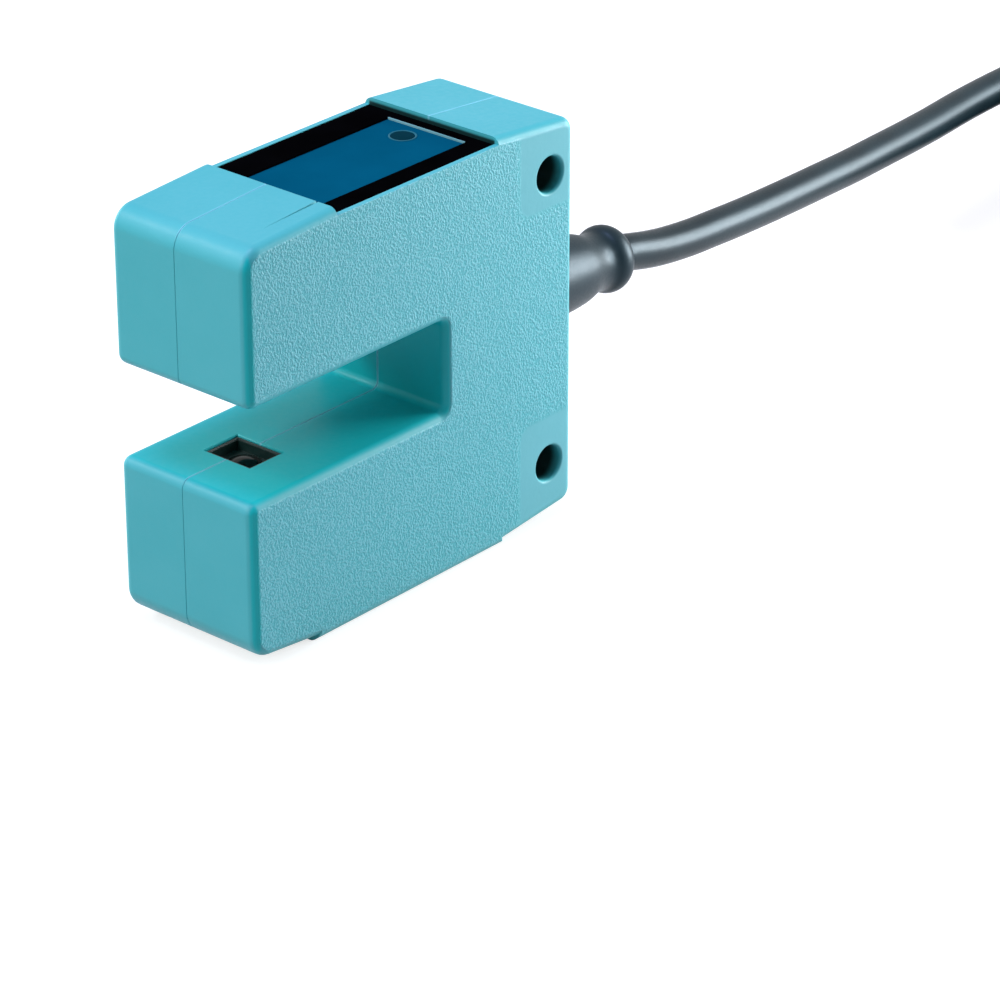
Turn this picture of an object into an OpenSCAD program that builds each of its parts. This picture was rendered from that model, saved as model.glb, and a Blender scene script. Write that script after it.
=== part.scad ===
// Fork light barrier: a moulded C-shaped housing in two halves, with a beam across the slot.
// The tips point to -X, the cable leaves towards +X, and the part stands on its foot pad at z = 0.

/* [Housing] */
// Length from the tip faces to the rear face
body_length = 53; // [50:0.5:62]
// Height from the foot pad to the highest edge of the top
body_height = 50; // [48:0.5:58]
// Thickness across both halves
body_thickness = 19.8; // [18.6:0.2:24]
// How far the parting plane lies behind the middle of the thickness
parting_offset = 0.4; // [0:0.1:0.8]
// Thickness of the moulded walls
wall = 2; // [1.6:0.1:2.2]
// Radius along the rims of both side faces
rim_round = 1.1; // [0.6:0.1:1.5]
// Width and depth of the bevel that each half has along the parting line
seam_bevel = 0.12; // [0.05:0.01:0.3]
// Radius of the outer corners at the tips
tip_round = 2.5; // [1:0.1:3]
// Radius of the two corners at the rear
rear_round = 1.5; // [0.8:0.1:2]
// How far the top falls from its highest edge to the tips
top_fall_front = 0.75; // [0.2:0.05:1]
// How far the top falls from its highest edge to the rear face
top_fall_rear = 1.2; // [0.2:0.05:1.5]
// How far the underside stands above the foot pad at the tips
underside_front = 1.5; // [0.8:0.1:2]
// How far the underside stands above the foot pad at the rear face
underside_rear = 1.6; // [0.8:0.1:2]
// Height of the foot pad
foot_height = 0.5; // [0.3:0.05:0.7]
// Distance from the tips to the front end of the foot pad
foot_start = 9.7; // [8:0.1:12]
// Length of the foot pad
foot_length = 31.7; // [28:0.1:34]

/* [Slot] */
// Clear height between the two arms
slot_width = 11; // [9:0.1:12]
// Depth of the slot from the tips
slot_depth = 31.3; // [29:0.1:32]
// Height of the slot floor above the foot pad
slot_floor = 20.1; // [19.5:0.1:20.6]
// Radius of the corners at the closed end
slot_corner = 0.9; // [0.6:0.1:1.4]
// Radius of the arm edges at the mouth of the slot
mouth_round = 1.2; // [0.5:0.1:1.5]

/* [Mounting holes] */
// Diameter of the two holes for M4 screws
hole_d = 4.3; // [3.4:0.1:4.5]
// Distance between the two holes
hole_spacing = 35.6; // [34.5:0.1:37]
// Height of the middle between the holes
hole_middle = 25.2; // [24.8:0.1:25.6]
// Distance from the holes to the rear face
hole_inset = 4.1; // [3.8:0.1:4.4]
// Depth of the bevel around each hole
hole_bevel = 0.4; // [0.2:0.1:0.6]
// Moulded material around each hole
hole_wall = 1.7; // [1.4:0.1:1.8]

/* [Beam optics] */
// Distance from the tips to the beam
beam_inset = 9.6; // [9.2:0.1:10.4]
// Length of the aperture along the arm
aperture_length = 5.2; // [4:0.1:5.6]
// Width of the aperture across the arm
aperture_width = 6.8; // [5:0.1:7.2]
// Depth of the step around the aperture
aperture_step = 0.5; // [0.3:0.1:0.7]
// Width of the step around the aperture
aperture_ledge = 0.4; // [0.3:0.1:0.5]
// Length of each lens holder along the arm
holder_length = 8.6; // [8:0.1:8.8]
// Width of each lens holder across the arm
holder_width = 8; // [7.6:0.1:8.2]
// Height of each lens holder
holder_height = 7.2; // [6.8:0.1:7.4]
// Diameter of the beam lenses
lens_d = 5; // [4.4:0.1:5.4]
// Thickness of the rim of each lens
lens_rim = 0.9; // [0.7:0.1:1.1]
// Height of the domed face of each lens
lens_dome = 0.7; // [0.4:0.1:0.9]

/* [Indicator window] */
// Distance from the tips to the recess in the top
recess_start = 14.2; // [13:0.1:15]
// Length of the recess along the top
recess_length = 26; // [24:0.1:27]
// Depth of the recess below the highest edge
recess_depth = 0.85; // [0.6:0.05:1]
// Width of the lip beside the window plate
lip_width = 0.7; // [0.5:0.1:1]
// Thickness of the tinted window plate
plate_thickness = 1; // [0.8:0.1:1.2]
// Thickness of the black frame on the plate
frame_thickness = 0.25; // [0.2:0.05:0.35]
// Width of the black frame on the side with the screw pads
frame_near = 2.7; // [1.5:0.1:3.5]
// Width of the black frame on the other side
frame_far = 4.1; // [1.5:0.1:4.5]
// Width of the black frame at the rear
frame_rear = 1.4; // [0.8:0.1:2]
// Width of the black frame at the front
frame_front = 0.8; // [0.6:0.1:2]
// Distance from the tips to the indicator lamp
lamp_inset = 35.9; // [35:0.1:36.5]
// Diameter of the indicator lamp and of the two beam diodes
lamp_d = 3; // [2.6:0.1:3.2]

/* [Circuit board] */
// Thickness of the board
board_thickness = 1.6; // [1:0.1:1.6]
// Distance from the parting plane to the board
board_offset = 4.2; // [4.15:0.05:4.4]
// Width of the board strip along the lower arm
strip_width = 7.4; // [7:0.1:7.6]

/* [Cable] */
// Diameter of the cable
cable_d = 4.5; // [4:0.1:5]
// Diameter of the boot at the rear face
boot_base_d = 11.4; // [10.5:0.1:12]
// Diameter of the boot at its neck
boot_neck_d = 7; // [6.6:0.1:7.6]
// Diameter of the bead at the end of the boot
boot_bead_d = 8.2; // [8:0.1:9]
// Length of the boot from the rear face
boot_length = 20.2; // [19.8:0.1:21]
// Downward lean of the boot in degrees
boot_lean = 5.5; // [0:0.5:8]
// Height of the boot where it leaves the rear face
boot_height = 24.5; // [24:0.1:25]
// Width of the long coil at the middle of its turns, and diameter of its end bends
coil_d = 32; // [32:0.5:36]
// Length of the straight runs of the long coil
coil_run = 72; // [64:1:76]
// Diameter of the three cores inside the cable
core_d = 1.3; // [1.1:0.05:1.4]
// Length of the stripped cores at the free end
lead_length = 24; // [16:1:30]

/* [Hidden] */
$fn = 48;

teal = [0.31, 0.65, 0.67];
board_green = [0.1, 0.38, 0.2];
jacket_black = [0.06, 0.06, 0.065];
part_black = [0.08, 0.08, 0.085];
tin = [0.75, 0.75, 0.73];

// Small overlap that lets a cutter pass right through a face
cut = 1;
// Clearance of pieces that are dropped into a seat
seat_gap = 0.1;
// Steps in each rounded corner of an outline
corner_steps = 6;
// Steps around the round of a rim
rim_steps = 5;
// Smallest radius that a corner keeps where the rim draws it in
least_round = 0.4;

half_thickness = body_thickness / 2;
near_depth = half_thickness + parting_offset;
far_depth = half_thickness - parting_offset;
tip_x = -body_length / 2;
rear_x = body_length / 2;
slot_end = tip_x + slot_depth;
slot_ceiling = slot_floor + slot_width;
recess_x = tip_x + recess_start;
recess_end = recess_x + recess_length;
lip_z = body_height - recess_depth;
pocket_z = lip_z - plate_thickness - frame_thickness;
foot_x = tip_x + foot_start;
foot_end = foot_x + foot_length;
hole_x = rear_x - hole_inset;
hole_z = [hole_middle - hole_spacing / 2, hole_middle + hole_spacing / 2];
boss_reach = hole_d / 2 + hole_wall;

// The hollow of the case
hollow_low = foot_height + wall;
hollow_high = pocket_z - 1.2;
hollow_rear = rear_x - wall - 0.2;
hollow_side = hole_x - boss_reach;
column_x = slot_end + wall;

// The board stands on ribs of the far half, its parts on the side that faces the near half
board_y = parting_offset + board_offset;
board_gap = 0.6;
board_low = hollow_low + 0.3;
board_high = hollow_high - board_gap;
board_rear = hollow_side - board_gap;
board_column = column_x + board_gap;
board_front = tip_x + wall + board_gap;

beam_x = tip_x + beam_inset;
lamp_x = tip_x + lamp_inset;
emitter_face = slot_ceiling + wall;
receiver_face = slot_floor - wall;
lamp_base = hollow_high - 3.6;
lead_w = 0.5;
lead_pitch = 1.27;
lead_drop = 1;

// Each arm's strip of the board starts beside its lens holder, so that the diode's legs reach it
strip_lap = 1;
high_bottom = emitter_face + holder_height - strip_lap;
low_top = receiver_face - holder_height + strip_lap;
low_bottom = low_top - strip_width;

// Alignment pins of the near half and the posts of the far half that take them
pin_d = 2.2;
pin_reach = 2.5;
post_d = 4.6;
pin_gap = 0.1;
post_x = [slot_end - 7.5, rear_x - 5];
post_places = [
    [post_x[0], slot_floor - wall - post_d / 2 - 0.3],
    [post_x[0], slot_ceiling + wall + post_d / 2 + 0.3],
    [post_x[1], hole_z[0] + boss_reach + post_d / 2 + 0.6],
    [post_x[1], hole_z[1] - boss_reach - post_d / 2 - 0.6]];

// Square ribs of the far half that carry the board
rib_width = 2;
rib_places = [
    [beam_x, low_bottom + 1],
    [beam_x, high_bottom + 0.5],
    [board_rear - rib_width - 1, board_low + 1],
    [board_rear - rib_width - 1, board_high - rib_width - 1]];

// Side outline of the case without its slot: each corner is x, z and its radius
outline = [
    [tip_x, underside_front, tip_round],
    [foot_x, foot_height, 0],
    [foot_end, foot_height, 0],
    [rear_x, underside_rear, rear_round],
    [rear_x, body_height - top_fall_rear, rear_round],
    [recess_end, body_height, 0],
    [recess_x, body_height, 0],
    [tip_x, body_height - top_fall_front, tip_round]];
// Side outline of the slot, running out past the tips
slot_outline = [
    [tip_x - 2 * tip_round, slot_floor, 0],
    [slot_end, slot_floor, slot_corner],
    [slot_end, slot_ceiling, slot_corner],
    [tip_x - 2 * tip_round, slot_ceiling, 0]];
hollow_outline = [
    [tip_x + wall, hollow_low],
    [hollow_side, hollow_low],
    [hollow_side, hole_z[0] + boss_reach],
    [hollow_rear, hole_z[0] + boss_reach],
    [hollow_rear, hole_z[1] - boss_reach],
    [hollow_side, hole_z[1] - boss_reach],
    [hollow_side, hollow_high],
    [tip_x + wall, hollow_high],
    [tip_x + wall, slot_ceiling + wall],
    [column_x, slot_ceiling + wall],
    [column_x, slot_floor - wall],
    [tip_x + wall, slot_floor - wall]];

// Boot, seat and cable
boot_foot = [rear_x, parting_offset, boot_height];
boot_flange_d = boot_base_d + 2.4;
boot_flange = 1.8;
boot_bead_at = 0.89 * boot_length;
boot_shoulder_at = 0.59 * boot_length;
boot_way = [cos(boot_lean), 0, -sin(boot_lean)];
boot_end = boot_foot + boot_length * boot_way;
boot_inner = hollow_rear - boot_flange;

// The coil lies on the surface that the part stands on
rest_gap = 0.05;
coil_turns_wide = 2;
coil_turns_high = 4;
coil_height = coil_turns_high * cable_d;
coil_width = coil_turns_wide * cable_d;
coil_outer = (coil_d + coil_width) / 2;
coil_edge = coil_outer - cable_d / 2;
coil_top = rest_gap + coil_height - cable_d / 2;
// Middle of the end bend that faces the part; the outermost run lies in line with the far side face
coil_centre = [148.5, half_thickness - coil_outer];
coil_steps = 24;
// The cable runs into the outermost turn of the top layer, up to the coil's outer face
coil_in_x = sqrt(pow(coil_outer + seat_gap, 2) - pow(coil_outer - cable_d, 2));
// Route of the cable from the boot to the coil
cable_route = [
    boot_end,
    [48.1, 0.4, 22.36],
    [50, 0.4, 21.93],
    [52.5, 0.4, 21.35],
    [56, 0.5, 20.7],
    [61, 0.7, 20.05],
    [66, 1, 19.6],
    [71, 1.4, 19.1],
    [77, 1.9, 18.6],
    [84, 2.5, 18.1],
    [91, 3.2, 17.6],
    [98, 3.9, 17.1],
    [105, 4.7, 16.7],
    [112, 5.5, 16.3],
    [119, 6.3, 16.0],
    [127, 7.2, 15.85],
    [coil_centre[0] - coil_in_x, coil_centre[1] + coil_edge, coil_top]];
route_steps = 2;
tube_sides = 12;

// Three cores, one above the other
core_pitch = core_d + 0.25;
core_x = board_rear - 3;
core_colours = [[0.3, 0.15, 0.07], [0.05, 0.15, 0.5], [0.05, 0.05, 0.055]];

// Rounded corner of an outline: the points of the arc at b between a and c
function unit(v) = v / norm(v);
function arc_centre(a, b, c, r) =
    let (p = unit(a - b), q = unit(c - b), half = acos(p * q) / 2) b + unit(p + q) * r / sin(half);
function arc_reach(a, b, c, r) = let (half = acos(unit(a - b) * unit(c - b)) / 2) r / tan(half);
function turn(v) = v > 180 ? v - 360 : v < -180 ? v + 360 : v;
function arc(a, b, c, r) =
    let (m = arc_centre(a, b, c, r), reach = arc_reach(a, b, c, r))
    let (s = b + unit(a - b) * reach - m, e = b + unit(c - b) * reach - m)
    let (from = atan2(s[1], s[0]), sweep = turn(atan2(e[1], e[0]) - from))
    [for (k = [0 : corner_steps])
        let (t = from + sweep * k / corner_steps) m + r * [cos(t), sin(t)]];
function flat(p) = [p[0], p[1]];
function prior(list, i) = flat(list[(i + len(list) - 1) % len(list)]);
function next(list, i) = flat(list[(i + 1) % len(list)]);
function rounded(list) = [for (i = [0 : len(list) - 1])
    each list[i][2] == 0 ? [flat(list[i])] : arc(prior(list, i), flat(list[i]), next(list, i), list[i][2])];
// The same outline drawn d further in: each corner moves along its bisector, each round keeps its centre
function inset(list, d) = [for (i = [0 : len(list) - 1])
    let (a = prior(list, i), b = flat(list[i]), c = next(list, i), r = list[i][2])
    let (p = unit(a - b), q = unit(c - b), at = b + unit(p + q) * d / sin(acos(p * q) / 2))
    [at[0], at[1], r == 0 ? 0 : max(least_round, r - d)]];

// Solid lofted through one outline: each ring gives how far it is drawn in, and its height
module loft(list, rings) {
    n = len(rounded(list));
    last = (len(rings) - 1) * n;
    polyhedron(
        points = [for (g = rings) each [for (v = rounded(inset(list, g[0]))) [v[0], v[1], g[1]]]],
        faces = concat([[for (k = [0 : n - 1]) k]],
            [for (g = [0 : len(rings) - 2]) for (k = [0 : n - 1])
                let (p = g * n + k, q = g * n + (k + 1) % n) each [[p, p + n, q], [q, p + n, q + n]]],
            [[for (k = [n - 1 : -1 : 0]) last + k]]));
}

// Round of a rim, from the side face at height 0 to the wall: how far in, and how high
rim = [for (k = [0 : rim_steps]) let (t = 90 * k / rim_steps) rim_round * [1 - sin(t), 1 - cos(t)]];

// Strip cut away along the edge between a tip face and the slot, across the whole arm
module mouth_edge(depth) {
    r = mouth_round;
    translate([0, 0, -cut])
        linear_extrude(depth + 2 * cut)
        polygon(concat([[-cut, -r], [-cut, cut], [r, cut]],
            [for (k = [0 : corner_steps]) let (t = 90 * k / corner_steps) r * [1 - sin(t), cos(t) - 1]]));
}

// Solid half of the case, its side face at z = 0 and the parting plane at z = depth
module half_block(depth) {
    difference() {
        loft(outline, concat(rim, [[0, depth - seam_bevel], [seam_bevel, depth]]));
        loft(slot_outline, concat([[-rim_round, -cut]], [for (g = rim) [-g[0], g[1]]],
            [[0, depth - seam_bevel], [-seam_bevel, depth], [-seam_bevel, depth + cut]]));
        translate([tip_x, slot_floor, 0]) mouth_edge(depth);
        translate([tip_x, slot_ceiling, 0]) mirror([0, 1, 0]) mouth_edge(depth);
    }
}

// Foot pad under the middle of one half, with the same round along its rim
module half_foot(depth) {
    top = foot_height + rim_round;
    translate([foot_x, 0, 0])
        rotate([0, 90, 0])
        rotate(90)
        linear_extrude(foot_length)
        polygon(concat([[top, depth], [0, depth]], [for (k = [rim_steps : -1 : 0]) rim[k]], [[top, 0]]));
}

// Opening through an arm's wall for the beam, with a step around it
module aperture(depth) {
    for (face = [[slot_floor, -1], [slot_ceiling, 1]]) {
        z = face[0] + (face[1] < 0 ? -wall - cut : -cut);
        x = beam_x - aperture_length / 2;
        y = depth - aperture_width / 2;
        translate([x + aperture_ledge, z, y + aperture_ledge])
            cube([aperture_length - 2 * aperture_ledge, wall + 2 * cut, aperture_width]);
        step = face[0] + (face[1] < 0 ? -aperture_step : -cut);
        translate([x, step, y])
            cube([aperture_length, aperture_step + cut, aperture_width]);
    }
}

// Bevelled hole for a mounting screw
module screw_hole(depth) {
    translate([0, 0, -cut]) cylinder(d = hole_d, h = depth + 2 * cut);
    translate([0, 0, -0.01]) cylinder(d1 = hole_d + 2 * hole_bevel, d2 = hole_d, h = hole_bevel);
}

// One half of the case in its moulding position, hollow side up
module hollow_half(depth) {
    difference() {
        union() {
            half_block(depth);
            half_foot(depth);
        }
        translate([0, 0, wall]) linear_extrude(depth) polygon(hollow_outline);
        translate([recess_x, lip_z, -cut])
            cube([recess_length, recess_depth + cut, depth + 2 * cut]);
        translate([recess_x, pocket_z, lip_width])
            cube([recess_length, recess_depth + cut + plate_thickness + frame_thickness, depth]);
        for (z = hole_z) translate([hole_x, z, 0]) screw_hole(depth);
        aperture(depth);
        translate([lamp_x, hollow_high - cut, depth])
            rotate([-90, 0, 0])
            cylinder(d = lamp_d + 0.4, h = pocket_z - hollow_high + 2 * cut);
        translate([rear_x - wall - cut, boot_height, depth])
            rotate([0, 90, 0])
            cylinder(d = boot_base_d + 2 * seat_gap, h = wall + 2 * cut);
    }
}

module near_case_half() {
    color(teal)
        translate([0, -half_thickness, 0])
        mirror([0, 1, 0])
        rotate([90, 0, 0])
        union() {
            hollow_half(near_depth);
            for (p = post_places)
                translate([p[0], p[1], wall - 0.5])
                    cylinder(d = pin_d, h = near_depth - wall + 0.5 + pin_reach);
        }
}

module far_case_half() {
    rib = far_depth - wall - board_offset - board_thickness;
    color(teal)
        translate([0, half_thickness, 0])
        rotate([90, 0, 0])
        union() {
            hollow_half(far_depth);
            for (p = post_places)
                translate([p[0], p[1], wall - 0.5])
                    difference() {
                        cylinder(d = post_d, h = far_depth - wall + 0.5);
                        translate([0, 0, far_depth - wall + 0.5 - pin_reach - 0.4])
                            cylinder(d = pin_d + 2 * pin_gap, h = pin_reach + 2 * cut);
                    }
            for (p = rib_places)
                translate([p[0], p[1], wall - 0.5]) cube([rib_width, rib_width, rib + 0.5]);
        }
}

plate_length = recess_length - 2 * seat_gap;
plate_width = body_thickness - 2 * lip_width - 2 * seat_gap;

module window_plate() {
    color([0.03, 0.27, 0.4, 0.8])
        translate([recess_x + seat_gap, -half_thickness + lip_width + seat_gap, pocket_z])
        cube([plate_length, plate_width, plate_thickness]);
}

module window_frame() {
    color(part_black)
        translate([recess_x + seat_gap, -half_thickness + lip_width + seat_gap, pocket_z + plate_thickness])
        linear_extrude(frame_thickness)
        difference() {
            square([plate_length, plate_width]);
            translate([frame_front, frame_near])
                square([plate_length - frame_front - frame_rear, plate_width - frame_near - frame_far]);
        }
}

module circuit_board() {
    color(board_green)
        translate([0, board_y + board_thickness, 0])
        rotate([90, 0, 0])
        linear_extrude(board_thickness)
        polygon([
            [board_front, low_bottom],
            [board_column, low_bottom],
            [board_column, board_low],
            [board_rear, board_low],
            [board_rear, board_high],
            [board_front, board_high],
            [board_front, high_bottom],
            [board_column, high_bottom],
            [board_column, low_top],
            [board_front, low_top]]);
}

// Lens holder with its seat face at z = 0, hollow for the lens and the diode behind it
module holder() {
    color(part_black)
        difference() {
            translate([-holder_length / 2, -holder_width / 2, 0])
                cube([holder_length, holder_width, holder_height]);
            translate([0, 0, -cut])
                cylinder(d = lens_d + 2 * seat_gap, h = lens_dome + lens_rim + seat_gap + cut);
            translate([0, 0, -cut]) cylinder(d = lamp_d + 2 * seat_gap, h = holder_height + 2 * cut);
            translate([0, 0, holder_height - 1]) cylinder(d = lamp_d + 0.8 + 2 * seat_gap, h = 1 + cut);
        }
}

// Domed beam lens that faces -z, its flat back seated in the holder
module beam_lens() {
    ball = (pow(lens_d / 2, 2) + pow(lens_dome, 2)) / (2 * lens_dome);
    rotate_extrude()
        polygon(concat([[0, lens_dome + lens_rim], [0, 0]],
            [for (k = [1 : 8]) let (x = lens_d / 2 * k / 8) [x, ball - sqrt(ball * ball - x * x)]],
            [[lens_d / 2, lens_dome + lens_rim]]));
}

// Round lamp with a domed end towards +z, its flange at z = 0 and two legs bent to the board
module lamp(height, leg_drop, leg_reach) {
    r = lamp_d / 2;
    rotate_extrude()
        polygon(concat([[0, 0], [r + 0.4, 0], [r + 0.4, 0.8], [r, 0.8]],
            [for (k = [0 : 6]) let (t = 90 * k / 6) [r * cos(t), height - r + r * sin(t)]]));
    for (side = [-1, 1]) {
        translate([side * lead_pitch - lead_w / 2, -lead_w / 2, -leg_drop]) {
            cube([lead_w, lead_w, leg_drop + 0.2]);
            cube([lead_w, leg_reach + lead_w / 2, lead_w]);
        }
    }
}

diode_height = holder_height - lens_dome - lens_rim - 1.2;

module emitter_holder() {
    translate([beam_x, parting_offset, emitter_face]) holder();
}

module emitter_lens() {
    color([0.12, 0.05, 0.08]) translate([beam_x, parting_offset, emitter_face]) beam_lens();
}

module emitter_diode() {
    color([0.2, 0.12, 0.3])
        translate([beam_x, parting_offset, emitter_face + holder_height])
        mirror([0, 0, 1])
        translate([0, 0, -0.2])
        lamp(diode_height, lead_drop, board_offset);
}

module receiver_holder() {
    translate([beam_x, parting_offset, receiver_face]) mirror([0, 0, 1]) holder();
}

module receiver_lens() {
    color([0.12, 0.05, 0.08])
        translate([beam_x, parting_offset, receiver_face])
        mirror([0, 0, 1])
        beam_lens();
}

module receiver_diode() {
    color([0.06, 0.06, 0.08])
        translate([beam_x, parting_offset, receiver_face - holder_height - 0.2])
        lamp(diode_height, lead_drop, board_offset);
}

module indicator_lamp() {
    color([0.75, 0.2, 0.15])
        translate([lamp_x, parting_offset, lamp_base])
        lamp(pocket_z - lamp_base - 0.1, lead_drop, board_offset);
}

// Flat chip on the board with legs on two sides, its middle at the origin and the board at y = 0
module chip(length, height, thickness, legs) {
    foot = 0.2;
    color(part_black)
        translate([-length / 2, -thickness - foot, -height / 2])
        cube([length, thickness, height]);
    for (side = [-1, 1])
        for (k = [0 : legs - 1])
            color(tin)
                translate([(k - (legs - 1) / 2) * lead_pitch - 0.2,
                    -thickness / 2 - foot, side * height / 2])
                mirror([0, 0, side < 0 ? 1 : 0]) {
                    translate([0, -0.1, -0.1]) cube([0.4, 0.2, 0.8]);
                    translate([0, -0.1, 0.5]) cube([0.4, thickness / 2 + foot + 0.1, 0.2]);
                }
}

// Places of the chips on the board's column, above and below the cores
chip_x = (board_column + board_rear) / 2;
amplifier_z = boot_height + 6.7;
diode_z = amplifier_z + 5;
regulator_z = boot_height - 9.8;
capacitor_z = regulator_z - 5;
resistor_x = beam_x + holder_length / 2 + 1;
resistor_pitch = 4;
resistor_size = [1.6, 0.5, 0.8];

module amplifier_chip() {
    translate([chip_x, board_y, amplifier_z]) chip(5, 3.9, 1.5, 4);
}

module voltage_regulator() {
    translate([chip_x + 2.6, board_y, regulator_z]) chip(2.9, 1.5, 1.1, 2);
}

module output_transistor() {
    translate([chip_x - 2.4, board_y, regulator_z]) chip(2.9, 1.5, 1.1, 2);
}

module protection_diode() {
    color(part_black) translate([chip_x - 2.2, board_y - 2.2, diode_z]) cube([4.4, 2.2, 2.6]);
}

// Upright can capacitor that stands on the board
module filter_capacitor() {
    color(tin)
        translate([chip_x - 1.5, board_y, capacitor_z])
        rotate([90, 0, 0]) {
            translate([-2.1, -2.1, 0]) cube([4.2, 4.2, 1]);
            cylinder(d = 4, h = 5.4);
        }
}

module chip_resistors() {
    color(part_black)
        for (k = [0 : 3])
            for (z = [(low_bottom + low_top) / 2, (high_bottom + board_high) / 2])
                translate([resistor_x + k * resistor_pitch, board_y - resistor_size[1], z])
                    cube(resistor_size);
}

// Core from the boot to the board: straight in, then a bend to the board's face
module core_wire(i) {
    z = boot_height + (1 - i) * core_pitch;
    color(core_colours[i])
        translate([core_x, parting_offset, z]) {
            rotate([0, 90, 0]) cylinder(d = core_d, h = boot_inner - core_x);
            sphere(d = core_d);
            rotate([-90, 0, 0]) cylinder(d = core_d, h = board_offset);
        }
}

module core_wire_brown() { core_wire(0); }
module core_wire_blue() { core_wire(1); }
module core_wire_black() { core_wire(2); }

// Boot: a flange behind the rear wall, a cone that leans down a little, and a bead at its end
module cable_boot() {
    bead_r = 2.2;
    bead_m = boot_bead_d / 2 - bead_r;
    neck = boot_bead_at - bead_r - 1.2;
    shoulder = (boot_base_d / 2 - 0.4 + boot_neck_d / 2) / 2;
    color(jacket_black) {
        translate([boot_inner, parting_offset, boot_height])
            rotate([0, 90, 0]) {
                cylinder(d = boot_flange_d, h = boot_flange);
                cylinder(d = boot_base_d, h = rear_x - boot_inner + 0.5);
            }
        translate(boot_foot)
            rotate([0, 90 + boot_lean, 0])
            rotate_extrude()
            polygon(concat(
                [[0, 0], [boot_base_d / 2 - 0.1, 0], [boot_base_d / 2 - 0.4, 3],
                    [shoulder, boot_shoulder_at], [boot_neck_d / 2, neck]],
                [for (k = [0 : 8]) let (t = -45 + 100 * k / 8)
                    [bead_m, boot_bead_at] + bead_r * [cos(t), sin(t)]],
                [[cable_d / 2 + 0.3, boot_length], [0, boot_length]]));
    }
}

// Smooth route through the points, by a spline between each pair
function spline(a, b, c, d, t) = 0.5 * ((2 * b) + (c - a) * t + (2 * a - 5 * b + 4 * c - d) * t * t
    + (3 * b - a - 3 * c + d) * t * t * t);
function at(list, i) = list[max(0, min(len(list) - 1, i))];
function smooth(list) = concat([for (i = [0 : len(list) - 2])
    for (k = [0 : route_steps - 1])
        spline(at(list, i - 1), list[i], list[i + 1], at(list, i + 2), k / route_steps)],
    [list[len(list) - 1]]);

// Ring of points around a route, square to its direction there, and flush with the boot at its start
function along(path, i) = i == 0 ? boot_way : unit(at(path, i + 1) - at(path, i - 1));
function ring(path, i, r) = let (f = along(path, i), s = unit(cross([0, 0, 1], f)), u = cross(f, s))
    [for (k = [0 : tube_sides - 1]) let (t = 360 * k / tube_sides) path[i] + r * (s * cos(t) + u * sin(t))];

module tube(path, r) {
    n = len(path);
    m = tube_sides;
    polyhedron(
        points = [for (i = [0 : n - 1]) each ring(path, i, r)],
        faces = concat([[for (k = [0 : m - 1]) k]],
            [for (i = [0 : n - 2]) for (k = [0 : m - 1])
                let (p = i * m + k, q = i * m + (k + 1) % m) each [[p, p + m, q], [q, p + m, q + m]]],
            [[for (k = [m - 1 : -1 : 0]) (n - 1) * m + k]]));
}

module cable() {
    color(jacket_black) tube(smooth(cable_route), cable_d / 2);
}

// Outline of the long coil: two straight runs and two half circles
function coil_outline(r) = concat(
    [for (k = [0 : coil_steps]) let (t = 90 + 180 * k / coil_steps) coil_centre + r * [cos(t), sin(t)]],
    [for (k = [0 : coil_steps]) let (t = 270 + 180 * k / coil_steps)
        coil_centre + [coil_run, 0] + r * [cos(t), sin(t)]]);

// Closed outer shape of the coiled length
module cable_coil() {
    color(jacket_black)
        translate([0, 0, rest_gap])
        difference() {
            linear_extrude(coil_height) polygon(coil_outline(coil_outer));
            translate([0, 0, -cut])
                linear_extrude(coil_height + 2 * cut)
                polygon(coil_outline(coil_outer - coil_width));
        }
}

// Band around the turns of one run
module coil_tie() {
    band = 1;
    w = 4;
    opening = coil_width + 2 * seat_gap;
    color(part_black)
        translate([coil_centre[0] + coil_run / 2 - w / 2,
            coil_centre[1] + coil_outer - coil_width - seat_gap, rest_gap])
        difference() {
            translate([0, -band, 0]) cube([w, opening + 2 * band, coil_height + seat_gap + band]);
            translate([-cut, 0, -cut]) cube([w + 2 * cut, opening, coil_height + cut + seat_gap]);
        }
}

// Stripped core at the free end, which lies on the other run
module lead(i) {
    color(core_colours[i])
        translate([coil_centre[0] + 0.75 * coil_run,
            coil_centre[1] - coil_d / 2 + (i - 1) * core_pitch,
            rest_gap + coil_height + seat_gap + core_d / 2])
        rotate([0, -90, 0])
        cylinder(d = core_d, h = lead_length);
}

module lead_brown() { lead(0); }
module lead_blue() { lead(1); }
module lead_black() { lead(2); }

near_case_half();
far_case_half();
window_plate();
window_frame();
circuit_board();
emitter_holder();
emitter_lens();
emitter_diode();
receiver_holder();
receiver_lens();
receiver_diode();
indicator_lamp();
amplifier_chip();
voltage_regulator();
output_transistor();
protection_diode();
filter_capacitor();
chip_resistors();
core_wire_brown();
core_wire_blue();
core_wire_black();
cable_boot();
cable();
cable_coil();
coil_tie();
lead_brown();
lead_blue();
lead_black();
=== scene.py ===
import math

import bmesh
import bpy
from mathutils import Matrix, Vector


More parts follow.
